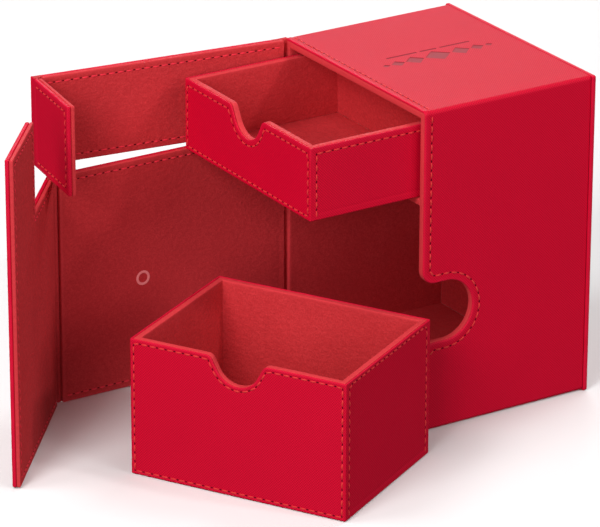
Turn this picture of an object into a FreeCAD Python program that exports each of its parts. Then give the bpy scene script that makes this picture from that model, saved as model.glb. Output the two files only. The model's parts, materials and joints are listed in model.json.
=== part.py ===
"""Card deck box: an open-front case with a dice drawer, a card tray and a split wrap-over cover.

Every wall is a sandwich: a greyboard core between an outer leatherette skin and an inner lining.
Units are millimetres. The origin is the middle of the case's underside, +Z is up, the open front
faces -Y, and the covers are hinged at the case's front left edge.
"""

import FreeCAD, Part
import math
import os
from FreeCAD import Vector

# ---------------------------------------------------------------- driving dimensions
SKIN = 0.9                  # leatherette
LINING = 0.9
CASE_BOARD = 2.2            # greyboard in the case walls
BOX_BOARD = 1.8             # greyboard in the tray and the drawer
COVER_BOARD = 1.7           # greyboard in the covers

CASE_WIDTH = 109.0
CASE_DEPTH = 85.5           # with the back panel
CASE_HEIGHT = 144.0
BACK_PANEL = 2.0            # thickness of the separate back panel
BACK_PANEL_PROUD = 0.7      # how far it stands out past the side walls
SHELF_TOP = 104.7
SHELF_THICKNESS = 3.2
SHELF_WRAP = 0.7

DRAWER_WIDTH = 99.0
DRAWER_DEPTH = 78.0
DRAWER_HEIGHT = 32.0
DRAWER_LIFT = 0.4           # clearance over the shelf
DRAWER_OUT = 52.65          # how far the drawer stands out of the case

TRAY_LENGTH = 99.4
TRAY_DEPTH = 75.8
TRAY_HEIGHT = 60.6
TRAY_CENTRE = (48.5, -108.7)
TRAY_TURN = 30.0            # degrees, the tray stands turned in front of the case
BOX_FLOOR_BOARD = 1.2

COVER_SPLIT = 104.35        # height of the cut between the two covers
COVER_GAP = 0.15            # half of that cut
COVER_FOOT = 0.4            # the covers clear the table by this
COVER_LENGTH = 113.0        # from hinge line to crease line
HINGE_DEPTH = 4.2           # from the case's front edge to the hinge line
HINGE_CLEAR = 1.6           # from the hinge line to the panel
CREASE_HALF = 4.2           # soft strip on each side of a crease line
FOLD_CLEAR = 1.4            # skin stops this far from a fold line
FOLD_OFFSET = 0.25          # a fold line lies this far outside the skin
UPPER_FLAP_LENGTH = 41.4
LOWER_FLAP_LENGTH = 86.5
FLAP_STEP = 42.4            # where the lower flap steps up to full height
UPPER_OPEN = 97.3           # degrees from closed
LOWER_OPEN = 90.3
UPPER_FLAP_BEND = 89.6      # degrees from flat
LOWER_FLAP_BEND = 50.5

NOTCH_DEPTH = 11.6          # finger notch in a box front
NOTCH_RADIUS = 10.5
NOTCH_SHOULDER = 3.0
NOTCH_SLOPE = 62.0          # degrees, of the notch's straight sides
THUMB_CENTRE_IN = 11.7      # thumb notch: centre behind the case's front edge
THUMB_CENTRE_Z = 53.5
THUMB_RADIUS = 13.5
THUMB_SHOULDER = 6.0

MAGNET_RADIUS = 5.0
MAGNET_THICKNESS = 1.2
UPPER_MAGNET = (30.0, 124.0)                    # distance from the crease line, height
LOWER_MAGNETS = ((72.0, 30.0), (72.0, 115.0))

# ---------------------------------------------------------------- worked-out dimensions
CASE_WALL = SKIN + CASE_BOARD + LINING
BOX_WALL = SKIN + BOX_BOARD + LINING
BOX_FLOOR = SKIN + BOX_FLOOR_BOARD + LINING
COVER_THICKNESS = SKIN + COVER_BOARD + LINING
HALF_WIDTH = CASE_WIDTH / 2
FRONT = -CASE_DEPTH / 2
BACK = CASE_DEPTH / 2
WALL_END = BACK - BACK_PANEL
BACK_INSIDE = WALL_END - CASE_BOARD - LINING
INSIDE_HALF = HALF_WIDTH - CASE_WALL
HINGE_X = -HALF_WIDTH - FOLD_OFFSET
HINGE_Y = FRONT - HINGE_DEPTH


def block(x0, x1, y0, y1, z0, z1):
    """A box between two corners."""
    return Part.makeBox(x1 - x0, y1 - y0, z1 - z0, Vector(x0, y0, z0))


def save(name, *solids):
    """Write one node; several solids make one group."""
    shape = solids[0] if len(solids) == 1 else Part.makeCompound(list(solids))
    shape.exportStep(f"parts/{name}.step")


def prism(edges, direction):
    """A solid from a closed run of edges, pushed along a vector."""
    return Part.Face(Part.Wire(edges)).extrude(direction)


def line(a, b):
    return Part.LineSegment(a, b).toShape()


def arc(a, middle, b):
    return Part.Arc(a, middle, b).toShape()


# ---------------------------------------------------------------- notch cutters
def finger_notch(rim_z, y0, y1, grow=0.0):
    """Cutter for a finger notch: a round bottom, leaning sides and soft shoulders.

    Grown, it is wider all round and its shoulders end lower by the same amount.
    """
    slope = math.radians(NOTCH_SLOPE)
    radius = NOTCH_RADIUS + grow
    shoulder = NOTCH_SHOULDER - grow
    centre_z = rim_z - NOTCH_DEPTH + NOTCH_RADIUS
    shoulder_z = rim_z - NOTCH_SHOULDER
    # the sloping side touches both circles, whose centres keep their places
    apart = NOTCH_RADIUS + NOTCH_SHOULDER
    rise = (shoulder_z - centre_z + apart * math.cos(slope)) / math.sin(slope)
    shoulder_x = apart * math.sin(slope) + rise * math.cos(slope)
    across = Vector(math.sin(slope), 0, -math.cos(slope))
    middle = Vector(-math.sin(slope / 2), 0, math.cos(slope / 2))

    def mirrored(point):
        return Vector(-point.x, point.y, point.z)

    top = rim_z + 5
    touch = Vector(0, y0, centre_z) + across * radius
    bend = Vector(shoulder_x, y0, shoulder_z)
    leave = bend - across * shoulder
    swell = bend + middle * shoulder
    rim = bend + Vector(0, 0, shoulder)
    high = Vector(shoulder_x, y0, top)
    bottom = Vector(0, y0, centre_z - radius)
    edges = [
        line(mirrored(high), mirrored(rim)),
        arc(mirrored(rim), mirrored(swell), mirrored(leave)),
        line(mirrored(leave), mirrored(touch)),
        arc(mirrored(touch), bottom, touch),
        line(touch, leave),
        arc(leave, swell, rim),
        line(rim, high),
        line(high, mirrored(high)),
    ]
    return prism(edges, Vector(0, y1 - y0, 0))


def thumb_notch(grow=0.0):
    """Cutter for the round thumb notch in the right wall, open to the front edge."""
    radius = THUMB_RADIUS + grow
    shoulder = THUMB_SHOULDER - grow
    top = THUMB_CENTRE_Z + radius
    bottom = THUMB_CENTRE_Z - radius
    x = INSIDE_HALF - 5
    corner = shoulder * (1 - math.sqrt(0.5))

    def at(depth, z):
        return Vector(x, FRONT + depth, z)

    edges = [
        line(at(-5, top + shoulder), at(0, top + shoulder)),
        arc(at(0, top + shoulder), at(corner, top + corner), at(shoulder, top)),
        line(at(shoulder, top), at(THUMB_CENTRE_IN, top)),
        arc(at(THUMB_CENTRE_IN, top), at(THUMB_CENTRE_IN + radius, THUMB_CENTRE_Z),
            at(THUMB_CENTRE_IN, bottom)),
        line(at(THUMB_CENTRE_IN, bottom), at(shoulder, bottom)),
        arc(at(shoulder, bottom), at(corner, bottom - corner), at(0, bottom - shoulder)),
        line(at(0, bottom - shoulder), at(-5, bottom - shoulder)),
        line(at(-5, bottom - shoulder), at(-5, top + shoulder)),
    ]
    return prism(edges, Vector(CASE_WALL + 10, 0, 0))


def disc(centre, axis):
    return Part.makeCylinder(MAGNET_RADIUS, MAGNET_THICKNESS, centre, axis)


# ---------------------------------------------------------------- case
def case():
    """Five board walls and a shelf, wrapped outside in leatherette and lined inside."""
    board_out = HALF_WIDTH - SKIN
    board_in = board_out - CASE_BOARD
    board_front = FRONT + SKIN
    back_board = WALL_END - CASE_BOARD
    low = SKIN + CASE_BOARD
    high = CASE_HEIGHT - low
    notch = thumb_notch()

    bottom = block(-board_out, board_out, board_front, back_board, SKIN, low)
    top = block(-board_out, board_out, board_front, back_board, high, CASE_HEIGHT - SKIN)
    left = block(-board_out, -board_in, board_front, back_board, low, high)
    right = block(board_in, board_out, board_front, back_board, low, high)
    right = right.cut(thumb_notch(SKIN))
    back = block(-board_out, board_out, back_board, WALL_END, SKIN, CASE_HEIGHT - SKIN)

    magnets = []
    for from_crease, z in (UPPER_MAGNET, *LOWER_MAGNETS):
        y = HINGE_Y + from_crease
        magnet = disc(Vector(board_out - MAGNET_THICKNESS, y, z), Vector(1, 0, 0))
        right = right.cut(magnet)
        magnets.append(magnet)
    save("case_bottom_board", bottom)
    save("case_top_board", top)
    save("case_left_board", left)
    save("case_right_board", right)
    save("case_back_board", back)
    save("case_wall_magnets", *magnets)

    # the outer wrap is one sheet over the left wall, the top and the right wall; its left
    # edge runs on past the front edge towards the hinge line
    outer = block(-HALF_WIDTH, HALF_WIDTH, FRONT, WALL_END, SKIN, CASE_HEIGHT)
    outer = outer.cut(block(-board_out, board_out, FRONT, WALL_END, 0, CASE_HEIGHT - SKIN))
    tongue = block(-HALF_WIDTH, -board_out, HINGE_Y + FOLD_CLEAR, FRONT, SKIN, CASE_HEIGHT)
    save("case_outer_wrap", outer.cut(notch).fuse(tongue).removeSplitter())
    save("case_base_skin", block(-HALF_WIDTH, HALF_WIDTH, FRONT, WALL_END, 0, SKIN))

    # the lining: one sheet per wall, turned out over the board's front edge as far as the skin
    side_low = CASE_WALL
    side_high = CASE_HEIGHT - CASE_WALL
    left_lining = block(-board_out, -INSIDE_HALF, FRONT, back_board, side_low, side_high)
    right_lining = block(INSIDE_HALF, board_out, FRONT, back_board, side_low, side_high)
    floor_lining = block(-board_out, board_out, FRONT, back_board, SKIN, CASE_WALL)
    top_lining = block(-board_out, board_out, FRONT, back_board, side_high, CASE_HEIGHT - SKIN)
    save("case_left_lining", left_lining.cut(left))
    save("case_right_lining", right_lining.cut(right.fuse(magnets)).cut(notch))
    save("case_floor_lining", floor_lining.cut(Part.makeCompound([bottom, left, right])))
    save("case_top_lining", top_lining.cut(Part.makeCompound([top, left, right])))
    back_lining = block(-INSIDE_HALF, INSIDE_HALF, BACK_INSIDE, back_board, side_low, side_high)
    save("case_back_lining", back_lining)

    # the shelf under the drawer
    shelf_low = SHELF_TOP - SHELF_THICKNESS
    shelf = block(-INSIDE_HALF, INSIDE_HALF, FRONT, BACK_INSIDE, shelf_low, SHELF_TOP)
    core = block(-INSIDE_HALF, INSIDE_HALF, FRONT + SHELF_WRAP, BACK_INSIDE,
                 shelf_low + SHELF_WRAP, SHELF_TOP - SHELF_WRAP)
    save("shelf_board", core)
    save("shelf_wrap", shelf.cut(core))

    # the back panel is a board of its own, wrapped and glued on, a little wider than the case
    edge = HALF_WIDTH + BACK_PANEL_PROUD
    panel = block(-edge, edge, WALL_END, BACK, 0, CASE_HEIGHT)
    panel_core = block(-edge + SKIN, edge - SKIN, WALL_END, BACK - SKIN,
                       SKIN, CASE_HEIGHT - SKIN)
    save("back_panel_board", panel_core)
    save("back_panel_skin", panel.cut(panel_core))


# ---------------------------------------------------------------- drawer and tray
def open_box(name, length, depth, height, placement):
    """An open-topped box about its own centre, standing on z = 0, with a notched front."""
    half = length / 2
    front = -depth / 2
    back = depth / 2
    board = half - SKIN
    inside = board - BOX_BOARD
    board_front = front + SKIN
    board_back = back - SKIN
    inside_front = board_front + BOX_BOARD
    inside_back = board_back - BOX_BOARD
    floor_top = SKIN + BOX_FLOOR_BOARD
    wall_top = height - LINING
    notch = finger_notch(height, front - 5, front + BOX_WALL + 5)
    board_notch = finger_notch(height, front - 5, front + BOX_WALL + 5, grow=LINING)

    pieces = {
        "floor_board": block(-board, board, board_front, board_back, SKIN, floor_top),
        "front_board": block(-board, board, board_front, inside_front, floor_top, wall_top),
        "back_board": block(-board, board, inside_back, board_back, floor_top, wall_top),
        "left_board": block(-board, -inside, inside_front, inside_back, floor_top, wall_top),
        "right_board": block(inside, board, inside_front, inside_back, floor_top, wall_top),
        "base_skin": block(-half, half, front, back, 0, SKIN),
        "floor_lining": block(-inside, inside, inside_front, inside_back,
                              floor_top, BOX_FLOOR),
    }
    pieces["front_board"] = pieces["front_board"].cut(board_notch)
    walls = Part.makeCompound([pieces[f"{side}_board"] for side in ("front", "back", "left", "right")])
    # a band of leatherette outside the boards
    outside = block(-half, half, front, back, SKIN, height)
    outside = outside.cut(block(-board, board, board_front, board_back, 0, height + 1))
    pieces["outer_skin"] = outside.cut(notch)
    # a band of lining inside them, turned over the rim and the notch as far as the skin
    lining = block(-board, board, board_front, board_back, BOX_FLOOR, height)
    lining = lining.cut(block(-inside + LINING, inside - LINING, inside_front + LINING,
                              inside_back - LINING, 0, height + 1))
    pieces["wall_lining"] = lining.cut(walls).cut(notch)
    for piece, solid in pieces.items():
        solid.Placement = placement
        save(f"{name}_{piece}", solid)


# ---------------------------------------------------------------- covers
def plate(u0, u1, z0, z1, v0, v1, step=None):
    """A flat plate in a cover's own axes; a step lifts its top from that point on."""
    solid = block(u0, u1, v0, v1, z0, z1)
    if step:
        step_at, step_top = step
        solid = solid.fuse(block(step_at, u1, v0, v1, z0, step_top)).removeSplitter()
    return solid


def sandwich(name, placement, u0, u1, z0, z1, step=None, magnets=()):
    """Board between skin and lining; both turn over the edges and meet in the middle."""
    v0 = FOLD_OFFSET
    v1 = v0 + COVER_THICKNESS
    middle = (v0 + v1) / 2
    core_step = (step[0] + SKIN, step[1] - SKIN) if step else None
    core = plate(u0 + SKIN, u1 - SKIN, z0 + SKIN, z1 - SKIN, v0 + SKIN, v1 - LINING, core_step)
    skin = plate(u0, u1, z0, z1, v0, middle, step).cut(core)
    lining = plate(u0, u1, z0, z1, middle, v1, step).cut(core)
    discs = []
    for u, z in magnets:
        magnet = disc(Vector(u, v1 - LINING - MAGNET_THICKNESS, z), Vector(0, 1, 0))
        core = core.cut(magnet)
        discs.append(magnet)
    for solid in (core, skin, lining, *discs):
        solid.Placement = placement
    save(f"{name}_board", core)
    save(f"{name}_skin", skin)
    save(f"{name}_lining", lining)
    if discs:
        save(f"{name}_magnets" if len(discs) > 1 else f"{name}_magnet", *discs)


def strip(name, placement, u0, u1, z0, z1):
    """The bare leatherette of a fold, which stops just short of the fold line."""
    solid = block(u0, u1, FOLD_OFFSET, FOLD_OFFSET + SKIN, z0, z1)
    solid.Placement = placement
    save(name, solid)


def turned(x, y, degrees):
    """Where a cover's own axes lie: moved to a fold line and turned about it."""
    return FreeCAD.Placement(Vector(x, y, 0), FreeCAD.Rotation(Vector(0, 0, 1), degrees))


def cover(name, open_angle, bend, flap_length, z0, z1, step=None, magnets=()):
    """One cover: a front panel on the case's hinge line and a flap on its crease line."""
    heading = -open_angle
    panel_at = turned(HINGE_X, HINGE_Y, heading)
    crease = panel_at.multVec(Vector(COVER_LENGTH, 0, 0))
    flap_at = turned(crease.x, crease.y, heading + bend)
    panel_end = COVER_LENGTH - CREASE_HALF
    sandwich(f"{name}_panel", panel_at, HINGE_CLEAR, panel_end, z0, z1)
    sandwich(f"{name}_flap", flap_at, CREASE_HALF, flap_length, z0, z1, step, magnets)
    strip(f"{name}_crease_strip", panel_at, panel_end, COVER_LENGTH - FOLD_CLEAR, z0, z1)
    strip(f"{name}_flap_strip", flap_at, FOLD_CLEAR, CREASE_HALF, z0, z1)


def main():
    os.makedirs("parts", exist_ok=True)
    case()

    drawer_y = FRONT - DRAWER_OUT + DRAWER_DEPTH / 2
    drawer_at = FreeCAD.Placement(Vector(0, drawer_y, SHELF_TOP + DRAWER_LIFT),
                                  FreeCAD.Rotation())
    open_box("drawer", DRAWER_WIDTH, DRAWER_DEPTH, DRAWER_HEIGHT, drawer_at)
    tray_at = turned(*TRAY_CENTRE, TRAY_TURN)
    open_box("tray", TRAY_LENGTH, TRAY_DEPTH, TRAY_HEIGHT, tray_at)

    cover("upper", UPPER_OPEN, UPPER_FLAP_BEND, UPPER_FLAP_LENGTH,
          COVER_SPLIT + COVER_GAP, CASE_HEIGHT, magnets=[UPPER_MAGNET])
    cover("lower", LOWER_OPEN, LOWER_FLAP_BEND, LOWER_FLAP_LENGTH,
          COVER_FOOT, COVER_SPLIT - COVER_GAP, step=(FLAP_STEP, CASE_HEIGHT),
          magnets=LOWER_MAGNETS)


main()
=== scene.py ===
"""Looks of the card deck box: leatherette skins, grained linings, folds and stitching.

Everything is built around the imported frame. The script's own lengths are in millimetres and
become metres when a mesh is made. The room and the materials are in metres.
"""

import json
import math
import random

import bmesh
import bpy
import numpy as np
from mathutils import Matrix, Quaternion, Vector
from mathutils.geometry import tessellate_polygon


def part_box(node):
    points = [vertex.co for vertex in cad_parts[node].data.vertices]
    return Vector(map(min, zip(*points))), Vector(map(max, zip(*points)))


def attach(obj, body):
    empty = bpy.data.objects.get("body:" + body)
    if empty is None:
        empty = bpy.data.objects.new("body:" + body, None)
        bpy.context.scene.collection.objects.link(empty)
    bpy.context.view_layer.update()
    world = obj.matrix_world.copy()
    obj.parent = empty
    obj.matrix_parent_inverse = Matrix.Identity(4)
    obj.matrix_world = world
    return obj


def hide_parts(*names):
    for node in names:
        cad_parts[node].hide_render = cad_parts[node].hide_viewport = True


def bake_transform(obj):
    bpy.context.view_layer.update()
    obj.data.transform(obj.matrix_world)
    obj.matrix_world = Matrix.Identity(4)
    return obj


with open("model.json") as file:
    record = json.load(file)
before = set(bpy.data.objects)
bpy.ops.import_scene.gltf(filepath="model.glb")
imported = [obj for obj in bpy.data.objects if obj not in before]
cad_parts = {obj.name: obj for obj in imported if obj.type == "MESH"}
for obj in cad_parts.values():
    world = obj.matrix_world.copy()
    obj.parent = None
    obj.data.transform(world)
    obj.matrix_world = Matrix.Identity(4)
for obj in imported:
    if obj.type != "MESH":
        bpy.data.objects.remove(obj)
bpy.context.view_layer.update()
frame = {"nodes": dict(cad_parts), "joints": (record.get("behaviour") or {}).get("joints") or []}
random.seed(24)

MM = 0.001

# -------------------------------- sizes, in millimetres
SKIN = 0.9                  # leatherette
LINING = 0.9
FACE_SINK = 0.1             # a panel lies this much below the band along its edge
SEAM_SINK = FACE_SINK + 0.1     # floor of a stitch channel

NOTCH_DEPTH = 11.6          # finger notch of the drawer and the tray
NOTCH_RADIUS = 10.5
NOTCH_SHOULDER = 3.0
NOTCH_SLOPE = 62.0          # degrees
THUMB_CENTRE_IN = 11.7      # thumb notch in the case's right wall
THUMB_CENTRE_Z = 53.5
THUMB_RADIUS = 13.5
THUMB_SHOULDER = 6.0

BOX_EDGE = 0.6              # rounding of the drawer's and the tray's outer corners
CASE_EDGE = 2.0
COVER_CORNER = 0.5
ARC_STEP = 0.8              # longest chord of a drawn arc
CORNER_STEPS = 4
EMBOSS_PERIOD = 1.2         # of the leatherette's diamonds, along a face's own axes
CREASE_WIDTH = 0.4          # mitre line in the corners of a rim
TURN_UNDER = 3.0            # the skin's width on the underside of the drawer and the tray
FAR_FROM_EDGE = 9.0         # margin of a point where the nearest edge doesn't matter
MERGE_DISTANCE = 2e-6       # metres

STITCH_INSET = 2.9          # row to edge, on the covers
CASE_SEAM = 3.4             # row to rim
BOX_SEAMS = {"drawer": (2.8, 1.8), "tray": (1.7, 1.7)}      # row to rim, to a front's ends
SIDE_SEAM = 3.2             # row to a side wall's ends
SEAM_FOOT = 0.8             # a side wall's row ends this far above the foot
CASE_SEAM_END = 2.0         # a row ends this far from the ends of its wall
COVER_SEAM_END = 1.2        # and of its board
STITCH_PITCH = 4.0
STITCH_LENGTH = 3.1
STITCH_SPREAD = (0.96, 1.02)    # random share of a stitch's length
STITCH_LEAN = 0.05          # largest random shift of a stitch's end
THREAD_WIDTH = 0.75
THREAD_HEIGHT = 0.46
THREAD_TWIST = 1.2          # radians along a stitch
THREAD_SHARES = (0.03, 0.12, 0.28, 0.5, 0.72, 0.88, 0.97)   # of its length, where it has a ring
HOLE_LENGTH = 1.15
HOLE_WIDTH = 0.75
HOLE_RINGS = ((0.35, 0.08), (1.0, 0.03), (0.7, -0.09))      # share of its size, height
HOLE_REACH = 0.3            # a hole points along the row between these two sides of it
ROUND_SIDES = 8             # of a thread and a needle hole

FOLD_HALF = 4.8             # half width of a fold strip, with what is tucked under the boards
SKIN_BEND = 1.2             # the outer skin turns within this of the fold line
LINING_BEND = 4.0
FOLD_STEPS = 48
FOLD_LEVELS = 6
FOLD_END = ((0.0, 0.25), (0.12, 0.08), (0.4, 0.0))      # from a strip's end, how much thinner
FOLD_SKIN = (0.35, 1.0)     # the outer skin's two sides in a fold, from the boards' outer plane
FOLD_LINING = 1.15          # the lining's hidden side
HINGE_TOP = 2.35            # its open side beside the case
CREASE_TOP = 3.1            # and in the middle of a crease
GROOVE_START = 2.0          # the groove beside each board, from the crease line
GROOVE_WIDTH = 2.1
GROOVE_DEPTH = 1.0
HINGE_LAP = 2.4             # a panel's soft lining reaches this far back over the hinge line
HINGE_TUCK = 0.6            # the hinge fold reaches this far under the panel's skin

RING_CENTRE = (68.8, 49.5)  # foil ring: along the lower cover from its hinge, and up
RING_PROFILE = ((2.15, 0.02), (2.2, -0.08), (2.35, -0.13), (3.15, -0.13), (3.3, -0.08),
                (3.35, 0.02))   # radius, depth under the lining
RING_STEPS = 48

MIDDLE_LOZENGE = (5.4, 6.4)     # half sizes across and along the ornament
LOZENGES = ((11.6, 4.1, 4.6), (20.1, 2.9, 3.3), (26.0, 1.5, 1.8))   # from the middle, half sizes
LINE_OFFSET = 7.6           # the broken line beside the lozenges
LINE_HALF = 0.55
MIDDLE_LINE = 4.0           # half length
SIDE_LINE = (13.5, 7.5)     # from the middle, half length
PRESS_RINGS = ((0.0, 0.0), (0.08, 0.1), (0.25, 0.22))       # inset, depth
ORNAMENT_SHIFT = (1.0, -0.5)    # from the middle of the lid

# -------------------------------- room, in metres and degrees
LIT_POINT = Vector((0.02, -0.08, 0.07))     # what the lamps point at
LAMP_DISTANCE = 1.8
LAMPS = (                   # name, azimuth, elevation, size, watts, seen in highlights
    ("front", 25, 38, 0.7, 18, True),
    ("low_front", 40, 15, 0.7, 9.2, True),
    ("left_high", -20, 60, 0.7, 8.8, False),
    ("back_low", 238, 28, 0.7, 8.8, True),
    ("back_high", 200, 60, 0.7, 6.8, True),
    ("right_soft", 105, 25, 0.7, 6.5, True),
    ("right_crisp", 125, 40, 0.15, 5.2, True),
)
WORLD_STRENGTH = 0.19
FLOOR_REACH = 6.0
FLOOR_DROP = 0.0002         # below the object's underside

CAMERA_AIM = Vector((-0.0574, -0.0343, 0.0382))
CAMERA_DISTANCE = 1.95
CAMERA_AZIMUTH = 57.793
CAMERA_ELEVATION = 22.344
CAMERA_ROLL = 0.134
CAMERA_LENS = 266.74        # millimetres
CAMERA_SENSOR = 36.0
CAMERA_SHIFT = (0.0051, -0.0068)


# -------------------------------- mesh building
class Shell:
    """A mesh gathered face by face; points that coincide are one vertex.

    A point is x, y, z and, where it matters, its distance from the nearest edge.
    """

    def __init__(self):
        self.index = {}
        self.points = []
        self.margins = []
        self.faces = []
        self.slots = []

    def vertex(self, point):
        key = tuple(round(c, 3) + 0.0 for c in point[:3])
        if key not in self.index:
            self.index[key] = len(self.points)
            self.points.append(point[:3])
            self.margins.append(point[3] if len(point) > 3 else FAR_FROM_EDGE)
        return self.index[key]

    def face(self, points, slot=0):
        ids = []
        for point in points:
            i = self.vertex(point)
            if not ids or ids[-1] != i:
                ids.append(i)
        if len(ids) > 1 and ids[0] == ids[-1]:
            ids.pop()
        if len(set(ids)) > 2:
            self.faces.append(ids)
            self.slots.append(slot)

    def strip(self, first, second, closed=True, slot=0):
        """Quads between two rows of points."""
        count = len(first)
        for i in range(count if closed else count - 1):
            j = (i + 1) % count
            self.face([first[i], first[j], second[j], second[i]], slot)

    def loft(self, rows, slot=0):
        for first, second in zip(rows, rows[1:]):
            self.strip(first, second, slot=slot)

    def holed(self, rim, holes):
        """A flat face with holes in it."""
        loops = [rim, *holes]
        points = [point for loop in loops for point in loop]
        flat = [[Vector(point[:3]) for point in loop] for loop in loops]
        for corners in tessellate_polygon(flat):
            self.face([points[i] for i in corners])


def finish_mesh(name, shell, matrix, materials, sharp=38.0):
    """An object from a shell: metres, outward normals, smooth but for sharp edges, weave map."""
    mesh = bpy.data.meshes.new(name)
    mesh.from_pydata([tuple(c * MM for c in p) for p in shell.points], [], shell.faces)
    for material in materials:
        mesh.materials.append(material)
    mesh.polygons.foreach_set("material_index", shell.slots)
    margin = mesh.attributes.new("margin", "FLOAT", "POINT")
    margin.data.foreach_set("value", shell.margins)
    work = bmesh.new()
    work.from_mesh(mesh)
    bmesh.ops.remove_doubles(work, verts=work.verts, dist=MERGE_DISTANCE)
    bmesh.ops.recalc_face_normals(work, faces=work.faces)
    weave = work.loops.layers.uv.new("weave")
    for face in work.faces:
        face.smooth = True
        normal = [abs(c) for c in face.normal]
        across = normal.index(max(normal))
        u, v = [axis for axis in range(3) if axis != across]
        for loop in face.loops:
            loop[weave].uv = (loop.vert.co[u] / MM, loop.vert.co[v] / MM)
    work.to_mesh(mesh)
    work.free()
    mesh.set_sharp_from_angle(angle=math.radians(sharp))
    mesh.transform(matrix)
    piece = bpy.data.objects.new(name, mesh)
    bpy.context.scene.collection.objects.link(piece)
    return piece


def add_piece(name, shell, matrix, materials, body, slot, nodes=()):
    """A finished piece that rides on a body and stands for CAD nodes."""
    piece = finish_mesh(name, shell, matrix, materials)
    flatten = piece.modifiers.new("flat_faces", "WEIGHTED_NORMAL")
    flatten.keep_sharp = True
    flatten.weight = 100
    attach(piece, body)
    if nodes:
        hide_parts(*nodes)


def unit(vector):
    return vector / np.linalg.norm(vector)


def left_of(direction):
    return np.array([-direction[1], direction[0]])


def outline(corners, inset, closed=True):
    """The points of a flat line with filleted corners, moved to its left by inset.

    A corner is (x, y) or (x, y, radius). The number of points doesn't depend on the inset.
    """
    points = []
    count = len(corners)
    for i, corner in enumerate(corners):
        here = np.array(corner[:2], float)
        before = np.array(corners[i - 1][:2], float)
        after = np.array(corners[(i + 1) % count][:2], float)
        if not closed and i == 0:
            points.append(here + left_of(unit(after - here)) * inset)
            continue
        if not closed and i == count - 1:
            points.append(here + left_of(unit(here - before)) * inset)
            continue
        entry = unit(here - before)
        leave = unit(after - here)
        mitre = (left_of(entry) + left_of(leave)) / (1 + entry @ leave)
        tip = here + mitre * inset
        if len(corner) < 3:
            points.append(tip)
            continue
        turn = math.atan2(entry[0] * leave[1] - entry[1] * leave[0], entry @ leave)
        hand = math.copysign(1, turn)
        radius = max(corner[2] - hand * inset, 0.0)
        steps = max(3, round(abs(turn) * corner[2] / ARC_STEP))
        start = tip - entry * radius * math.tan(abs(turn) / 2)
        centre = start + left_of(entry) * hand * radius
        for k in range(steps + 1):
            angle = turn * k / steps
            c, s = math.cos(angle), math.sin(angle)
            x, y = start - centre
            points.append(centre + np.array([c * x - s * y, s * x + c * y]))
    return [(float(x), float(y)) for x, y in points]


def rounded(corners, radius):
    """The same corners, each filleted."""
    return [(*corner[:2], radius) for corner in corners]


def rectangle(x0, y0, x1, y1):
    return [(x0, y0), (x1, y0), (x1, y1), (x0, y1)]


def turns(steps):
    """The angles of a full turn in equal steps."""
    return [2 * math.pi * k / steps for k in range(steps)]


def clamped(value):
    return min(max(value, 0.0), 1.0)


def plate(shell, corners, profile, place):
    """A slab. Rings of its outline run from its back, round its edge and over its face."""
    rings = []
    for inset, depth in profile:
        ring = [(*place(x, y, depth), inset) for x, y in outline(corners, inset)]
        rings.append(ring)
    shell.face(rings[0])
    shell.loft(rings)
    shell.face(rings[-1])


# -------------------------------- stitching
def along(path, closed):
    """A function from a length along a flat path to its point, and the whole length."""
    points = [np.array(p) for p in path]
    if closed:
        points.append(points[0])
    reach = [0.0]
    for a, b in zip(points, points[1:]):
        reach.append(reach[-1] + float(np.linalg.norm(b - a)))
    xs = [p[0] for p in points]
    ys = [p[1] for p in points]

    def at(length):
        if closed:
            length %= reach[-1]
        return np.array([np.interp(length, reach, xs), np.interp(length, reach, ys)])

    return at, reach[-1]


def thread(shell, place, start, end):
    """One visible stitch: an arched, twisted strand whose ends dive into the skin."""
    direction = unit(end - start)
    side = left_of(direction)
    length = float(np.linalg.norm(end - start))
    rows = []
    for share in THREAD_SHARES:
        arch = math.sin(math.pi * share)
        swell = arch ** 0.45
        lift = THREAD_HEIGHT * (0.9 * arch - 0.35)
        row = []
        for angle in turns(ROUND_SIDES):
            twisted = angle + THREAD_TWIST * share
            out = THREAD_WIDTH / 2 * swell * math.cos(twisted)
            up = THREAD_HEIGHT / 2 * swell * math.sin(twisted)
            x, y = start + direction * length * share + side * out
            row.append(place(x, y, SEAM_SINK - lift - up))
        rows.append(row)
    shell.loft(rows)
    shell.face(rows[0])
    shell.face(rows[-1])


def needle_hole(shell, place, centre, direction):
    """The dark dimple at a stitch's end: a shallow lens set into the channel."""
    side = left_of(direction)
    rows = []
    for spread, height in HOLE_RINGS:
        row = []
        for angle in turns(ROUND_SIDES):
            x, y = (centre + direction * HOLE_LENGTH / 2 * spread * math.cos(angle)
                    + side * HOLE_WIDTH / 2 * spread * math.sin(angle))
            row.append(place(x, y, SEAM_SINK - height))
        rows.append(row)
    shell.loft(rows, slot=1)
    shell.face(rows[0], 1)
    shell.face(rows[-1], 1)


def sew(shell, path, place, closed=False):
    """A row of stitches along a flat path, with a needle hole between each two."""
    at, total = along(path, closed)
    count = max(1, round(total / STITCH_PITCH))
    pitch = total / count
    for i in range(count):
        middle = (i + 0.5) * pitch
        half = STITCH_LENGTH / 2 * random.uniform(*STITCH_SPREAD)
        start = at(middle - half)
        end = at(middle + half)
        lean = left_of(unit(end - start)) * random.uniform(-STITCH_LEAN, STITCH_LEAN)
        thread(shell, place, start + lean, end - lean)
        gap = middle + pitch / 2
        if closed or i < count - 1:
            direction = unit(at(gap + HOLE_REACH) - at(gap - HOLE_REACH))
            needle_hole(shell, place, at(gap), direction)


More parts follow.
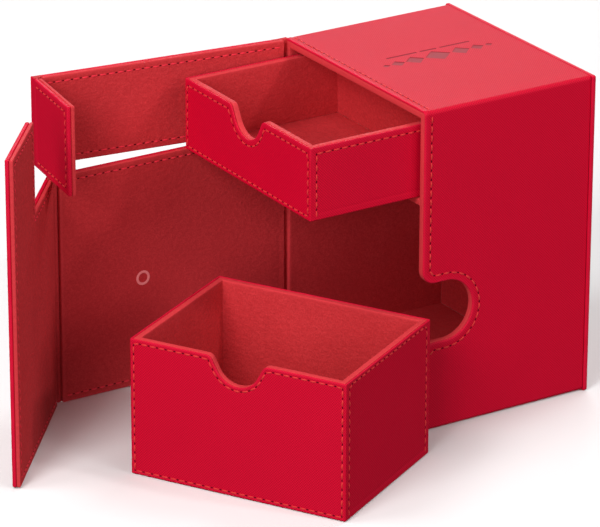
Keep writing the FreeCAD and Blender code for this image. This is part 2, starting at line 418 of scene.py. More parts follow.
# -------------------------------- boxes
class Box:
    """Four walls round an open box, in its own axes: +z is towards the rim.

    The walls are numbered front, right, back, left. A wall's own axes are a, along it, and c,
    from the foot to the rim; n is the depth under its outer face. A notch is the corners that
    interrupt the rim of a wall.
    """

    def __init__(self, length, depth, height, edge, notch):
        self.half = (length / 2, depth / 2)
        self.lengths = (length, depth, length, depth)
        self.height = height
        self.edge = edge
        self.notch = notch

    def at(self, wall, a, c, n):
        hx, hy = self.half
        return ((-hx + a, -hy + n, c), (hx - n, -hy + a, c),
                (hx - a, hy - n, c), (-hx + n, hy - a, c))[wall]

    def place(self, wall):
        return lambda a, c, n: self.at(wall, a, c, n)

    def rim_corners(self, wall):
        """The rim's line with its notch, from one end of the wall to the other."""
        ends = ((0.0, self.height), (self.lengths[wall], self.height))
        return [ends[0], *self.notch.get(wall, ()), ends[1]]

    def face_corners(self, wall):
        """The whole face's outline, counter-clockwise."""
        return [(0.0, 0.0), (self.lengths[wall], 0.0), *reversed(self.rim_corners(wall))]

    def arc(self, wall, c, n):
        """The points that turn the corner from a wall to the next one."""
        inset = max(self.edge, n)
        middle = np.array(self.at(wall, self.lengths[wall] - inset, c, inset))
        out = np.array(self.at(wall, 0, 0, 0)) - self.at(wall, 0, 0, 1)
        beyond = (wall + 1) % 4
        onward = np.array(self.at(beyond, 0, 0, 0)) - self.at(beyond, 0, 0, 1)
        points = []
        for k in range(CORNER_STEPS + 1):
            angle = math.pi / 2 * k / CORNER_STEPS
            spoke = out * math.cos(angle) + onward * math.sin(angle)
            points.append(tuple(middle + spoke * (inset - n)))
        return points

    def rim_path(self, wall, t, n, crease):
        """The wall's line t below the rim, in its own axes."""
        inset = max(self.edge, n)
        length = self.lengths[wall]
        path = outline(self.rim_corners(wall), -t, closed=False)
        ends = (inset, self.height - t), (length - inset, self.height - t)
        if not crease:
            return [ends[0], *path[1:-1], ends[1]]
        near = (inset + CREASE_WIDTH, self.height - t)
        far = (length - inset - CREASE_WIDTH, self.height - t)
        return [ends[0], near, *path[1:-1], far, ends[1]]

    def rim(self, t, n, crease):
        """The closed line round the box, t below the rim. A crease is how far its corners sink,
        and None gives a line without creases."""
        loop = []
        for wall in range(4):
            path = self.rim_path(wall, t, n, crease is not None)
            sunk = crease or 0.0
            row = [self.at(wall, a, c, n) for a, c in path]
            row[0] = self.at(wall, path[0][0], path[0][1] - sunk, n)
            row[-1] = self.at(wall, path[-1][0], path[-1][1] - sunk, n)
            row += self.arc(wall, self.height - t - sunk, n)[1:-1]
            loop += [(*point, t) for point in row]
        return loop

    def foot(self, b, n):
        """The closed line round the box at height b."""
        loop = []
        for wall in range(4):
            inset = max(self.edge, n)
            loop += [self.at(wall, inset, b, n),
                     self.at(wall, self.lengths[wall] - inset, b, n)]
            loop += self.arc(wall, b, n)[1:-1]
        return loop

    def wall_face(self, shell, wall, t, b, n, crease, holes=()):
        """The flat of a wall from height b to t below the rim."""
        inset = max(self.edge, n)
        path = [self.at(wall, a, c, n) for a, c in self.rim_path(wall, t, n, crease)]
        low = [self.at(wall, self.lengths[wall] - inset, b, n), self.at(wall, inset, b, n)]
        if holes:
            shell.holed([*path, *low], holes)
        else:
            shell.face([*path, *low])

    def corners(self, shell, t, b, n):
        """The rounded uprights between the walls."""
        for wall in range(4):
            shell.strip(self.arc(wall, b, n), self.arc(wall, self.height - t, n), closed=False)


def box_walls(shell, box, rim_run, foot_run, face_rings=None, crease=None, holes=None):
    """A closed band round a box. The rim run is a list of (distance below the rim, depth) and
    the foot run a list of (height, depth), both from the band's outer side to its inner side.

    Where a crease is given, it says how far each point of the rim run sinks in the corners.
    """
    creases = crease or [None] * len(rim_run)
    shell.loft([box.rim(t, n, sunk) for (t, n), sunk in zip(rim_run, creases)])
    shell.loft([box.foot(b, n) for b, n in foot_run])
    creased = crease is not None
    for wall in range(4):
        if face_rings:
            place = box.place(wall)
            rings = [[(*place(a, c, n), inset) for a, c in outline(corners, inset)]
                     for inset, n, corners in face_rings(wall)]
            shell.loft(rings)
            shell.face(rings[-1])
        else:
            cuts = (holes or {}).get(wall, ())
            box.wall_face(shell, wall, rim_run[0][0], foot_run[0][0], rim_run[0][1], creased, cuts)
        box.wall_face(shell, wall, rim_run[-1][0], foot_run[-1][0], rim_run[-1][1], creased)
    for (t, n), (b, _) in ((rim_run[0], foot_run[0]), (rim_run[-1], foot_run[-1])):
        box.corners(shell, t, b, n)


def finger_notch(length, height):
    """The finger notch in the middle of a front rim, as corners with radii."""
    slope = math.radians(NOTCH_SLOPE)
    pit = NOTCH_DEPTH + NOTCH_RADIUS * (1 / math.cos(slope) - 1)
    reach = pit / math.tan(slope)
    middle = length / 2
    return [(middle - reach, height, NOTCH_SHOULDER), (middle, height - pit, NOTCH_RADIUS),
            (middle + reach, height, NOTCH_SHOULDER)]


def thumb_notch(height):
    """The round notch in the case's right wall, open to the front edge."""
    low = THUMB_CENTRE_Z - THUMB_RADIUS
    high = THUMB_CENTRE_Z + THUMB_RADIUS
    deep = height - THUMB_CENTRE_IN - THUMB_RADIUS
    return [(low, height, THUMB_SHOULDER), (low, deep, THUMB_RADIUS),
            (high, deep, THUMB_RADIUS), (high, height, THUMB_SHOULDER)]


# -------------------------------- what the frame says
def upright_normal(node):
    """The flat direction that a node's largest upright face looks in."""
    mesh = frame["nodes"][node].data
    best = max((p for p in mesh.polygons if abs(p.normal.z) < 0.1), key=lambda p: p.area)
    return Vector((best.normal.x, best.normal.y, 0)).normalized()


def joint_place(name):
    joint = next(j for j in frame["joints"] if j["name"] == name)
    return Vector(joint["pos_m"])


def axes(x_axis, origin):
    """A turned frame with +Z up, from its x axis and its origin."""
    y_axis = Vector((-x_axis.y, x_axis.x, 0))
    matrix = Matrix((x_axis, y_axis, Vector((0, 0, 1)))).transposed().to_4x4()
    matrix.translation = origin
    return matrix


def extent(node, matrix):
    """Lowest and highest corners of a node in a turned frame, in millimetres."""
    inverse = matrix.inverted()
    points = [inverse @ v.co for v in frame["nodes"][node].data.vertices]
    low = [min(p[k] for p in points) / MM for k in range(3)]
    high = [max(p[k] for p in points) / MM for k in range(3)]
    return low, high


# -------------------------------- materials
class Nodes:
    """Short ways to add shader nodes."""

    def __init__(self, name, **principled):
        self.material = bpy.data.materials.new(name)
        self.material.use_nodes = True
        self.tree = self.material.node_tree
        self.shader = self.tree.nodes["Principled BSDF"]
        for socket, value in principled.items():
            self.shader.inputs[socket.replace("_", " ")].default_value = value

    def add(self, kind, inputs=None, **settings):
        node = self.tree.nodes.new(kind)
        for key, value in settings.items():
            setattr(node, key, value)
        for key, value in (inputs or {}).items():
            socket = node.inputs[key]
            if isinstance(value, bpy.types.NodeSocket):
                self.tree.links.new(value, socket)
            else:
                socket.default_value = value
        return node

    def math(self, operation, a, b=0.0):
        return self.add("ShaderNodeMath", {0: a, 1: b}, operation=operation).outputs[0]

    def place(self):
        return self.add("ShaderNodeTexCoord").outputs["Object"]

    def noise(self, scale, detail=3.0, roughness=0.55, upright=1.0):
        """Noise that is finer by the last factor up and down than along."""
        place = self.add("ShaderNodeVectorMath", {0: self.place(), 1: (1.0, 1.0, upright)},
                         operation="MULTIPLY").outputs[0]
        node = self.add("ShaderNodeTexNoise", {"Vector": place, "Scale": scale,
                                               "Detail": detail, "Roughness": roughness})
        return node.outputs["Fac"]

    def ramp(self, value, low, high, out_low=0.0, out_high=1.0):
        node = self.add("ShaderNodeMapRange", {"Value": value, "From Min": low, "From Max": high,
                                               "To Min": out_low, "To Max": out_high})
        return node.outputs["Result"]

    def mix(self, share, a, b):
        node = self.add("ShaderNodeMix", {0: share, 6: a, 7: b}, data_type="RGBA")
        return node.outputs[2]

    def margin(self):
        return self.add("ShaderNodeAttribute", attribute_name="margin").outputs["Fac"]

    def link(self, socket, name):
        self.tree.links.new(socket, self.shader.inputs[name])

    def bump(self, height, distance, strength):
        inputs = {"Height": height, "Distance": distance, "Strength": strength}
        return self.add("ShaderNodeBump", inputs).outputs["Normal"]


def leatherette():
    """Crimson leatherette with a fine diamond emboss whose valleys carry painted shade, smoother
    along its edges and painted paler there as a patchy painted highlight.
    """
    n = Nodes("crimson_leatherette", Specular_IOR_Level=0.12)
    weave = n.add("ShaderNodeSeparateXYZ", {0: n.add("ShaderNodeUVMap", uv_map="weave").outputs[0]})
    u, v = weave.outputs[0], weave.outputs[1]
    pace = 2 * math.pi / EMBOSS_PERIOD
    wobble = n.math("MULTIPLY", n.noise(900, 1.0), 0.5)
    rising = n.math("SINE", n.math("ADD", n.math("MULTIPLY", n.math("ADD", u, v), pace), wobble))
    falling = n.math("SINE", n.math("MULTIPLY", n.math("SUBTRACT", u, v), pace))
    diamonds = n.ramp(n.math("ADD", rising, n.math("MULTIPLY", falling, 0.85)), -1.8, 1.8)
    border = n.ramp(n.margin(), 1.4, 3.2, 0.35, 1.0)
    emboss = n.math("MULTIPLY", diamonds, border)
    grain = n.noise(2600, 2.0)
    height = n.math("ADD", emboss, n.math("MULTIPLY", grain, 0.35))
    # painted shade: the emboss's valleys are painted darker than its crests
    shade = n.mix(diamonds, (0.44, 0.0006, 0.017, 1), (0.77, 0.0022, 0.033, 1))
    drift = n.ramp(n.noise(38, 4.0), 0.3, 0.7, 0.0, 0.3)
    shade = n.mix(drift, shade, (0.54, 0.001, 0.022, 1))
    # painted highlight: the colour is painted paler along the edges, broken into patches by noise
    highlight_patches = n.ramp(n.noise(160), 0.3, 0.7, 0.35, 1)
    painted_edge_highlight = n.math("MULTIPLY", n.ramp(n.margin(), 0.1, 2.2, 1.0, 0.0), highlight_patches)
    shade = n.mix(n.math("MULTIPLY", painted_edge_highlight, 0.45), shade, (0.78, 0.012, 0.055, 1))
    n.link(shade, "Base Color")
    n.link(n.ramp(grain, 0.3, 0.7, 0.5, 0.62), "Roughness")
    n.link(n.bump(height, 0.00013, 0.6), "Normal")
    return n.material


def lining():
    """Brick-red lining with soft pebbling, fine ridges with painted shade in their troughs, a faint
    nap and a painted highlight along its edges.
    """
    n = Nodes("brick_lining", Specular_IOR_Level=0.08, Sheen_Weight=0.02,
              Sheen_Roughness=0.5, Sheen_Tint=(1.0, 0.6, 0.55, 1))
    cells = n.add("ShaderNodeTexVoronoi", {"Vector": n.place(), "Scale": 620.0},
                  feature="SMOOTH_F1").outputs["Distance"]
    pebble = n.ramp(cells, 0.1, 0.75, 1.0, 0.0)
    grain = n.noise(1500, 4.0, 0.65)
    soft = n.noise(260, 3.0)
    ridges = n.noise(430, 2.0, 0.5, upright=1.5)
    fine = n.math("ADD", n.math("MULTIPLY", pebble, 0.5), n.math("ADD", grain, soft))
    height = n.math("ADD", fine, n.math("MULTIPLY", ridges, 3.4))
    shade = n.mix(n.ramp(grain, 0.32, 0.68), (0.48, 0.025, 0.031, 1), (0.66, 0.045, 0.053, 1))
    shade = n.mix(n.ramp(n.noise(45, 4.0), 0.35, 0.7, 0.0, 0.35), shade, (0.47, 0.022, 0.028, 1))
    # painted shade: the ridges' troughs are painted darker
    shade = n.mix(n.ramp(ridges, 0.6, 0.35, 0.0, 0.25), shade, (0.42, 0.018, 0.023, 1))
    # painted highlight: the lining is painted paler along its edges and rims
    painted_edge_highlight = n.ramp(n.margin(), 0.1, 1.6, 0.5, 0.0)
    shade = n.mix(painted_edge_highlight, shade, (0.70, 0.048, 0.060, 1))
    n.link(shade, "Base Color")
    n.link(n.ramp(soft, 0.3, 0.7, 0.55, 0.7), "Roughness")
    n.link(n.bump(height, 0.00016, 0.5), "Normal")
    return n.material


def grained(name, dark, bright, grain, roughness, relief=None, **principled):
    """A material whose colour, roughness and relief follow one noise."""
    n = Nodes(name, **principled)
    noise = n.noise(*grain)
    n.link(n.mix(noise, dark, bright), "Base Color")
    n.link(n.ramp(noise, 0.3, 0.7, *roughness), "Roughness")
    if relief:
        n.link(n.bump(noise, *relief), "Normal")
    return n.material


def thread_material(name, dark, bright):
    return grained(name, dark, bright, (3500, 2.0), (0.5, 0.7), (0.0001, 0.6),
                   Specular_IOR_Level=0.3, Sheen_Weight=0.1)


LEATHER = leatherette()
CLOTH = lining()
THREAD = thread_material("coral_thread", (0.58, 0.014, 0.018, 1), (0.80, 0.038, 0.034, 1))
INNER_THREAD = thread_material("rose_thread", (0.72, 0.01, 0.03, 1), (0.92, 0.03, 0.065, 1))
HOLE = grained("needle_hole_shade", (0.07, 0.001, 0.004, 1), (0.15, 0.003, 0.01, 1),
               (2500, 2.0), (0.8, 0.95), Specular_IOR_Level=0.05)
EMBLEM = grained("pressed_ornament", (0.27, 0.012, 0.026, 1), (0.36, 0.022, 0.036, 1),
                 (1400, 3.0), (0.5, 0.65), (0.00005, 0.5), Specular_IOR_Level=0.15)
FOIL = grained("coral_foil", (0.88, 0.20, 0.21, 1), (0.97, 0.27, 0.28, 1),
               (900, 3.0), (0.35, 0.5), Specular_IOR_Level=0.4)
GREYBOARD = grained("greyboard", (0.27, 0.25, 0.22, 1), (0.46, 0.43, 0.38, 1),
                    (700, 6.0, 0.7), (0.8, 0.95), (0.0001, 0.7), Specular_IOR_Level=0.2)
MAGNET = grained("nickel_magnet", (0.52, 0.51, 0.49, 1), (0.68, 0.67, 0.65, 1),
                 (1800, 2.0), (0.22, 0.36), Metallic=1.0)


def finish_carried_nodes():
    """The boards and magnets inside the walls keep their CAD shapes."""
    for name, node in frame["nodes"].items():
        if name.endswith("_board"):
            material = GREYBOARD
        elif "magnet" in name:
            material = MAGNET
        else:
            continue
        node.data.materials.clear()
        node.data.materials.append(material)


# -------------------------------- profiles
def channel(near=STITCH_INSET):
    """(inset, depth) rings over a face: flat band, stitch channel, then the face a little
    lower."""
    return [(near - 0.75, 0.0), (near - 0.4, FACE_SINK + 0.04), (near, SEAM_SINK),
            (near + 0.4, FACE_SINK + 0.04), (near + 0.8, FACE_SINK), (near + 1.6, FACE_SINK)]


def quarter(radius, steps=4):
    """(inset, depth) pairs over a rounded edge, from its side to its top."""
    angles = [math.pi / 2 * k / steps for k in range(steps + 1)]
    return [(radius * (1 - math.cos(a)), radius * (1 - math.sin(a))) for a in angles]


# -------------------------------- drawer and tray
class OpenBox(Box):
    """The drawer or the tray, measured from its CAD nodes."""

    def __init__(self, name, body):
        self.name = name
        self.body = body
        back = upright_normal(f"{name}_outer_skin")
        turned = axes(Vector((back.y, -back.x, 0)), Vector((0, 0, 0)))
        low, high = extent(f"{name}_base_skin", turned)
        top = extent(f"{name}_outer_skin", turned)[1][2]
        pad_low, pad_high = extent(f"{name}_floor_lining", turned)
        length, depth, height = high[0] - low[0], high[1] - low[1], top - low[2]
        super().__init__(length, depth, height, BOX_EDGE, {0: finger_notch(length, height)})
        middle = Vector(((low[0] + high[0]) / 2, (low[1] + high[1]) / 2, low[2])) * MM
        self.matrix = turned @ Matrix.Translation(middle)
        self.wall = pad_low[0] - low[0] + LINING
        self.floor = pad_high[2] - low[2]
        hx, hy = self.half
        self.footprint = rectangle(-hx, -hy, hx, hy)
        self.seam_top, seam_front = BOX_SEAMS[name]
        self.seam_sides = (seam_front, SIDE_SEAM) * 2

    def seam_corners(self, wall):
        """Corners whose outline at inset seam_top is the wall's stitch row."""
        wide = self.seam_top - self.seam_sides[wall]
        length = self.lengths[wall]
        return [(-wide, -wide), (length + wide, -wide), (length + wide, self.height),
                *reversed(self.notch.get(wall, ())), (-wide, self.height)]

    def add(self, kind, shell, materials, slot, *nodes):
        """A piece of the box that stands for some of its CAD nodes."""
        add_piece(f"{self.name}_{kind}", shell, self.matrix, materials, self.body, slot,
                  [f"{self.name}_{node}" for node in nodes])


def box_skin(box):
    """The leatherette, over the rim and round the foot."""
    rim_run = [(BOX_EDGE, 0.0), (0.32, 0.0), (0.1, 0.08), (0.0, 0.3), (0.0, 0.52),
               (0.1, 0.72), (0.4, 0.84), (0.9, SKIN)]
    foot_run = [*reversed(quarter(BOX_EDGE)), (0.0, TURN_UNDER), (0.25, TURN_UNDER + 0.2),
                (0.6, TURN_UNDER + 0.2), (0.6, SKIN)]

    def rings(wall):
        seam = box.seam_corners(wall)
        ring_list = [(BOX_EDGE, 0.0, box.face_corners(wall))]
        ring_list += [(inset, sunk, seam) for inset, sunk in channel(box.seam_top)]
        return ring_list

    shell = Shell()
    box_walls(shell, box, rim_run, foot_run, rings)
    box.add("leather_skin", shell, [LEATHER], "leatherette", "outer_skin")


def box_base_sheet(box):
    """The sheet on the underside, inside the turned-over skin."""
    profile = [(TURN_UNDER + 0.4, 0.7), (TURN_UNDER, 0.6), (TURN_UNDER, 0.3),
               (TURN_UNDER + 0.2, 0.15), (TURN_UNDER + 1.5, 0.12), (TURN_UNDER + 4, 0.12)]
    shell = Shell()
    plate(shell, box.footprint, profile, lambda x, y, d: (x, y, d))
    box.add("base_sheet", shell, [LEATHER], "leatherette", "base_skin")


def box_lining(box):
    """The lining of the walls, with its own rim inside the skin's."""
    wall = box.wall
    rim_run = [(LINING, wall - LINING), (LINING, 0.95), (0.45, 0.98), (0.15, 1.1), (0.04, 1.3),
               (0.0, 1.6), (0.0, wall - 0.7), (0.06, wall - 0.3), (0.2, wall - 0.1),
               (0.45, wall), (1.2, wall)]
    crease = [0, 0, 0.05, 0.1, 0.12, 0.12, 0.12, 0.1, 0.05, 0, 0]
    foot_run = [(box.floor - 0.05, wall - LINING), (box.floor - 0.05, wall)]
    shell = Shell()
    box_walls(shell, box, rim_run, foot_run, crease=crease)
    box.add("lining", shell, [CLOTH], "lining", "wall_lining")


def box_floor_pad(box):
    """The lining of the floor."""
    inside, floor = box.wall - 0.05, box.floor
    profile = [(inside, floor - LINING + 0.05), (inside, floor - 0.25),
               (inside + 0.15, floor - 0.05), (inside + 0.6, floor), (inside + 3, floor)]
    shell = Shell()
    plate(shell, box.footprint, profile, lambda x, y, d: (x, y, d))
    box.add("floor_pad", shell, [CLOTH], "lining", "floor_lining")


def box_stitching(box):
    """Closed rows on the front and the back, and rows without a foot on the side walls."""
    shell = Shell()
    for wall in (0, 2):
        row = outline(box.seam_corners(wall), box.seam_top)
        sew(shell, row, box.place(wall), closed=True)
    far = box.lengths[1] - SIDE_SEAM
    rim = box.height - box.seam_top
    for wall in (1, 3):
        row = [(far, SEAM_FOOT), (far, rim), (SIDE_SEAM, rim), (SIDE_SEAM, SEAM_FOOT)]
        sew(shell, row, box.place(wall))
    box.add("stitching", shell, [THREAD, HOLE], "leatherette")


def open_box(name, body):
    """The drawer or the tray."""
    box = OpenBox(name, body)
    for build in (box_skin, box_base_sheet, box_lining, box_floor_pad, box_stitching):
        build(box)


# -------------------------------- case
def lozenge(a, c, half_a, half_c):
    return [(a - half_a, c), (a, c - half_c), (a + half_a, c), (a, c + half_c)]


def bar(a, c, half_a, half_c):
    return rectangle(a - half_a, c - half_c, a + half_a, c + half_c)


def ornament(middle_a, middle_c):
    """A plain ornament for the lid: a row of lozenges beside a broken line."""
    line_a = middle_a + LINE_OFFSET
    shapes = [lozenge(middle_a, middle_c, *MIDDLE_LOZENGE)]
    for hand in (-1, 1):
        for away, half_a, half_c in LOZENGES:
            shapes.append(lozenge(middle_a, middle_c + hand * away, half_a, half_c))
        away, half_c = SIDE_LINE
        shapes.append(bar(line_a, middle_c + hand * away, LINE_HALF, half_c))
    shapes.append(bar(line_a, middle_c, LINE_HALF, MIDDLE_LINE))
    return shapes


def press(shell, shapes, place, depth):
    """Sinks shapes into a face and returns their rims, which are holes in the face."""
    holes = []
    for corners in shapes:
        rims = [[place(x, y, depth + sunk) for x, y in outline(corners, inset)]
                for inset, sunk in PRESS_RINGS]
        shell.loft(rims, slot=1)
        shell.face(rims[-1], 1)
        holes.append(rims[0])
    return holes


class CaseBox(Box):
    """The case, measured from its CAD nodes. Its walls are the base, the right wall, the lid and
    the left wall, and its own +z is towards the open front."""

    def __init__(self):
        low, high = (list(v / MM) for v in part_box("case_outer_wrap"))
        front, back = (v.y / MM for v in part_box("case_base_skin"))
        lining_low, lining_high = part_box("case_back_lining")
        run = back - front
        super().__init__(high[0] - low[0], high[2], run, CASE_EDGE, {1: thumb_notch(run)})
        self.back = back
        self.inside = lining_high.x / MM
        self.wall = high[0] - self.inside
        self.back_gap = back - lining_low.y / MM
        self.matrix = Matrix(((1, 0, 0, 0), (0, 0, -1, back * MM), (0, 1, 0, self.half[1] * MM),
                              (0, 0, 0, 1)))


def case_wrap(box):
    """The leatherette, with the ornament pressed into the lid."""
    rim_run = [(5.6, FACE_SINK), (4.3, FACE_SINK), (3.9, FACE_SINK + 0.04), (CASE_SEAM, SEAM_SINK),
               (2.9, FACE_SINK + 0.04), (2.5, 0.0), (0.75, 0.0), (0.4, 0.05), (0.14, 0.2),
               (0.02, 0.42), (0.0, 0.6), (0.1, 0.78), (0.45, 0.88), (1.0, SKIN)]
    foot_run = [(0.5, FACE_SINK), (0.25, 0.16), (0.08, 0.32), (0.0, 0.6), (0.0, SKIN)]
    lid = 2
    shell = Shell()
    shift_a, shift_c = ORNAMENT_SHIFT
    emblem = ornament(box.half[0] + shift_a, box.back + shift_c)
    holes = press(shell, emblem, box.place(lid), FACE_SINK)
    box_walls(shell, box, rim_run, foot_run, holes={lid: holes})
    add_piece("case_leather_wrap", shell, box.matrix, [LEATHER, EMBLEM], "case", "leatherette",
              ["case_outer_wrap", "case_base_skin"])


def case_stitching(box):
    """A row along the front edge of each wall but the base."""
    shell = Shell()
    for wall in (1, 2, 3):
        row = outline(box.rim_corners(wall), -CASE_SEAM, closed=False)
        row[0] = (CASE_SEAM_END, row[0][1])
        row[-1] = (box.lengths[wall] - CASE_SEAM_END, row[-1][1])
        sew(shell, row, box.place(wall))
    add_piece("case_stitching", shell, box.matrix, [THREAD, HOLE], "case", "leatherette")


def case_lining(box):
    """The lining of the walls, with its own rim inside the wrap's."""
    wall = box.wall
    rim_run = [(SKIN, wall - LINING), (SKIN, 1.0), (0.5, 1.05), (0.2, 1.2), (0.06, 1.45),
               (0.02, 1.8), (0.0, wall - 1.0), (0.1, wall - 0.45), (0.35, wall - 0.15),
               (0.7, wall), (1.6, wall)]
    crease = [0, 0, 0.05, 0.1, 0.14, 0.14, 0.14, 0.1, 0.05, 0, 0]
    foot_run = [(box.back_gap - 0.05, wall - LINING), (box.back_gap - 0.05, wall)]
    shell = Shell()
    box_walls(shell, box, rim_run, foot_run, crease=crease)
    add_piece("case_lining", shell, box.matrix, [CLOTH], "case", "lining",
              ["case_left_lining", "case_right_lining", "case_top_lining", "case_floor_lining"])


def case_back_pad(box):
    """The lining of the back."""
    rise, gap = box.half[1] - box.wall, box.back_gap
    profile = [(-0.05, gap - LINING + 0.05), (-0.05, gap - 0.3), (0.1, gap - 0.08), (0.5, gap),
               (3, gap)]
    shell = Shell()
    corners = rectangle(-box.inside, -rise, box.inside, rise)
    plate(shell, corners, profile, lambda x, y, d: (x, y, d))
    add_piece("case_back_pad", shell, box.matrix, [CLOTH], "case", "lining", ["case_back_lining"])


def case():
    box = CaseBox()
    for build in (case_wrap, case_stitching, case_lining, case_back_pad):
        build(box)


def back_panel():
    """The separate board on the back, wrapped and standing a little proud of the walls."""
    low, high = (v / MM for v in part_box("back_panel_skin"))
    corners = rounded(rectangle(low.x, low.z, high.x, high.z), 0.9)
    thick = high.y - low.y
    profile = [(1.2, thick), (0.3, thick), (0.08, thick - 0.12), (0.0, thick - 0.35),
               *quarter(0.8, 5), (3.0, 0.0), (3.5, 0.04), (4.2, 0.04), (6.0, 0.04)]
    shell = Shell()
    plate(shell, corners, profile, lambda x, z, d: (x, high.y - d, z))
    add_piece("back_panel_wrap", shell, Matrix(), [LEATHER], "case", "leatherette",
              ["back_panel_skin"])


def shelf():
    """The shelf under the drawer, its wrap turned round the front edge."""
    low, high = (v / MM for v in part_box("shelf_wrap"))
    corners = rectangle(low.x, low.z, high.x, high.z)
    profile = [(0.0, high.y - low.y), *quarter(0.9, 5), (1.25, 0.0)]
    shell = Shell()
    plate(shell, corners, profile, lambda x, z, d: (x, low.y + d, z))
    add_piece("shelf_lining", shell, Matrix(), [CLOTH], "case", "lining", ["shelf_wrap"])


# -------------------------------- covers
def cover_edge(thick):
    """Half a cover's edge and face, from the seam in the middle of its edge."""
    half = thick / 2
    return [(1.4, half), (0.6, half), (0.45, half - 0.06), (0.12, half - 0.24),
            (0.03, half - 0.38), (0.0, half - 0.55), (0.0, 0.6), (0.06, 0.3), (0.22, 0.1),
            (0.5, 0.0), *channel()]


def cover_board(name, matrix, body, step_at=None, free_end=False):
    """Skin and lining of one board of a cover, with their stitching."""
    low, high = extent(f"{name}_skin", matrix)
    outer = low[1]
    inner = extent(f"{name}_lining", matrix)[1][1]
    u1, z0, z1 = high[0], low[2], high[2]
    profile = cover_edge(inner - outer)
    layers = (("skin", LEATHER, THREAD, "leatherette", low[0],
               lambda u, z, d: (u, outer + d, z)),
              ("lining", CLOTH, INNER_THREAD, "lining", low[0] if free_end else -HINGE_LAP,
               lambda u, z, d: (u, inner - d, z)))
    for side, material, strand, slot, u0, place in layers:
        corners = [(u0, z0), (u1, z0), (u1, z1)]
        if step_at is not None:
            at, level = step_at
            corners += [(at, z1), (at, level), (u0, level)]
        else:
            corners.append((u0, z1))
        shell = Shell()
        plate(shell, rounded(corners, COVER_CORNER), profile, place)
        add_piece(f"{name}_{side}_sheet", shell, matrix, [material], body, slot,
                  [f"{name}_{side}"])
        seam = outline(corners, STITCH_INSET, closed=False)
        for end in (0, -1):
            seam[end] = (u0 + COVER_SEAM_END, seam[end][1])
        if free_end:
            rows = [seam]
        else:
            rows = [[seam[end], (u1 - COVER_SEAM_END, seam[end][1])] for end in (0, -1)]
        seams = Shell()
        for row in rows:
            sew(seams, row, place)
        add_piece(f"{name}_{side}_stitching", seams, matrix, [strand, HOLE], body, "leatherette")


def crease_lining(q):
    """The lining's two sides at q from a crease: padded, sloping down to a pressed groove beside
    each board."""
    pressed = clamped((abs(q) - GROOVE_START) / GROOVE_WIDTH)
    return FOLD_LINING, CREASE_TOP - GROOVE_DEPTH * pressed * pressed


def hinge_lining(q):
    """The lining's two sides at the hinge, the same at every q: one groove beside the case, the
    rest under the panel's lap."""
    return FOLD_LINING, HINGE_TOP


def fold(name, matrix, turn, z0, z1, nodes, end, lining_section):
    """The two soft layers over a fold line: the outer skin and the lining, pressed between
    the boards."""
    layers = {
        "leather": (LEATHER, "leatherette", SKIN_BEND, lambda q: FOLD_SKIN),
        "cloth": (CLOTH, "lining", LINING_BEND, lining_section),
    }
    for layer, (material, slot, bend, section) in layers.items():
        def point(q, v, z):
            share = clamped((q + bend) / (2 * bend))
            angle = turn * share * share * (3 - 2 * share)
            c, s = math.cos(angle), math.sin(angle)
            return (c * q - s * v, s * q + c * v, z)

        shell = Shell()
        spots = [-FOLD_HALF + (end + FOLD_HALF) * k / FOLD_STEPS for k in range(FOLD_STEPS + 1)]
        ring = [(q, section(q)[0]) for q in spots] + [(q, section(q)[1]) for q in reversed(spots)]
        levels = [(z0 + away, shrink) for away, shrink in FOLD_END]
        levels += [(z0 + (z1 - z0) * k / FOLD_LEVELS, 0.0) for k in range(1, FOLD_LEVELS)]
        levels += [(z1 - away, shrink) for away, shrink in reversed(FOLD_END)]
        rows = []
        for z, shrink in levels:
            row = []
            for k, (q, v) in enumerate(ring):
                hand = 1 if k < len(spots) else -1
                row.append(point(q, v + hand * shrink, z))
            rows.append(row)
        shell.loft(rows)
        count = len(spots)
        for row in (rows[0], rows[-1]):
            shell.strip(row[:count], row[count:][::-1], closed=False)
        piece = finish_mesh(f"{name}_{layer}", shell, matrix, [material], sharp=60)
        reach = bend * 0.999
        matrix @ (Vector(point(-reach, 0.9, z0)) * MM)
        matrix @ (Vector(point(reach, 0.9, z0)) * MM)
        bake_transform(piece)
        if layer == "leather" and nodes:
            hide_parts(*nodes)


def heading(turned, reference):
    """The angle of a turned frame seen from another one."""
    relative = reference.inverted() @ turned
    return math.atan2(relative[1][0], relative[0][0])


def cover(name, step=False):
    """One half of the cover: panel, flap and the two folds. Returns the panel's axes.

    The flap of a stepped cover is higher at its free end than the panel.
    """
    hinge = joint_place(f"{name}_cover_swing")
    crease = joint_place(f"{name}_flap_fold")
    hinge.z = crease.z = 0.0
    panel_axes = axes((crease - hinge).normalized(), hinge)
    outward = upright_normal(f"{name}_flap_skin")
    flap_axes = axes(Vector((-outward.y, outward.x, 0)), crease)
    cover_board(f"{name}_panel", panel_axes, f"{name}_cover")
    low, high = extent(f"{name}_panel_skin", panel_axes)
    z0, z1 = low[2], high[2]
    step_at = None
    if step:        # the flap's first point that is well above the panel's top
        inverse = flap_axes.inverted()
        vertices = frame["nodes"][f"{name}_flap_skin"].data.vertices
        points = [inverse @ v.co for v in vertices]
        at = min(p.x for p in points if p.z / MM > z1 + 5) / MM
        step_at = (at, z1)
    cover_board(f"{name}_flap", flap_axes, f"{name}_flap", step_at, free_end=True)

    case_axes = axes(Vector((0, -1, 0)), hinge)
    fold(f"{name}_hinge", case_axes, heading(panel_axes, case_axes), z0, z1,
         [], low[0] + HINGE_TUCK, hinge_lining)
    crease_axes = panel_axes.copy()
    crease_axes.translation = crease
    fold(f"{name}_crease", crease_axes, heading(flap_axes, crease_axes), z0, z1,
         [f"{name}_crease_strip", f"{name}_flap_strip"],
         FOLD_HALF, crease_lining)
    return panel_axes


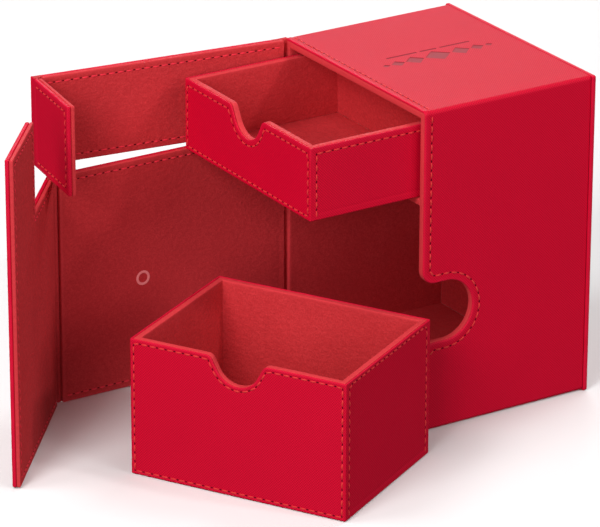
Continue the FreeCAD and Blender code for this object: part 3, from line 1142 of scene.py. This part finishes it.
def cover_ring(panel_axes):
    """A small plain ring of foil on the lower cover's lining."""
    face = extent("lower_panel_lining", panel_axes)[1][1] - FACE_SINK
    centre_u, centre_z = RING_CENTRE
    rows = []
    for radius, depth in RING_PROFILE:
        row = []
        for angle in turns(RING_STEPS):
            row.append((centre_u + radius * math.cos(angle), face - depth,
                        centre_z + radius * math.sin(angle)))
        rows.append(row)
    shell = Shell()
    shell.loft(rows)
    shell.strip(rows[-1], rows[0])
    add_piece("lower_cover_foil_ring", shell, panel_axes, [FOIL], "lower_cover", "lining")


# -------------------------------- room, light and camera
def from_object(azimuth, elevation):
    """The direction from the object to a lamp or a camera at those angles."""
    a, e = math.radians(azimuth), math.radians(elevation)
    return Vector((math.sin(a) * math.cos(e), -math.cos(a) * math.cos(e), math.sin(e)))


def pale_floor():
    mesh = bpy.data.meshes.new("floor")
    corners = rectangle(-FLOOR_REACH, -FLOOR_REACH, FLOOR_REACH, FLOOR_REACH)
    mesh.from_pydata([(*corner, 0) for corner in corners], [], [(0, 1, 2, 3)])
    floor = bpy.data.objects.new("floor", mesh)
    floor.location.z = -FLOOR_DROP
    bpy.context.scene.collection.objects.link(floor)
    n = Nodes("pale_floor", Roughness=0.9, Specular_IOR_Level=0.1)
    n.link(n.mix(n.noise(6, 2.0), (0.86, 0.86, 0.86, 1), (0.9, 0.9, 0.9, 1)), "Base Color")
    mesh.materials.append(n.material)
    floor.visible_diffuse = False
    floor.visible_glossy = False


def white_world():
    world = bpy.data.worlds.new("studio")
    world.use_nodes = True
    background = world.node_tree.nodes["Background"]
    background.inputs["Color"].default_value = (1.0, 1.0, 1.0, 1)
    background.inputs["Strength"].default_value = WORLD_STRENGTH
    bpy.context.scene.world = world
    world.cycles_visibility.glossy = False
    bpy.context.scene.view_settings.view_transform = "Standard"


def lamp(name, azimuth, elevation, size, watts, glossy):
    """A round soft lamp on a sphere about the lit point."""
    light = bpy.data.lights.new(name, "AREA")
    light.shape = "DISK"
    light.size = size
    light.energy = watts
    back = from_object(azimuth, elevation)
    thing = bpy.data.objects.new(name, light)
    thing.visible_glossy = glossy
    thing.location = LIT_POINT + back * LAMP_DISTANCE
    thing.rotation_euler = (-back).to_track_quat("-Z", "Y").to_euler()
    bpy.context.scene.collection.objects.link(thing)


def studio():
    pale_floor()
    white_world()
    for settings in LAMPS:
        lamp(*settings)


def camera():
    """The photo's camera, as fitted to the object's visible corners."""
    data = bpy.data.cameras.new("camera")
    data.lens = CAMERA_LENS
    data.sensor_width = CAMERA_SENSOR
    data.shift_x, data.shift_y = CAMERA_SHIFT
    data.clip_end = 50.0
    back = from_object(CAMERA_AZIMUTH, CAMERA_ELEVATION)
    thing = bpy.data.objects.new("camera", data)
    thing.location = CAMERA_AIM + back * CAMERA_DISTANCE
    roll = Quaternion((0, 0, 1), math.radians(CAMERA_ROLL))
    thing.rotation_euler = ((-back).to_track_quat("-Z", "Y") @ roll).to_euler()
    bpy.context.scene.collection.objects.link(thing)
    bpy.context.scene.camera = thing


camera()
finish_carried_nodes()
case()
back_panel()
shelf()
open_box("drawer", "dice_drawer")
open_box("tray", "card_tray")
cover("upper")
cover_ring(cover("lower", step=True))
studio()

bpy.context.view_layer.update()
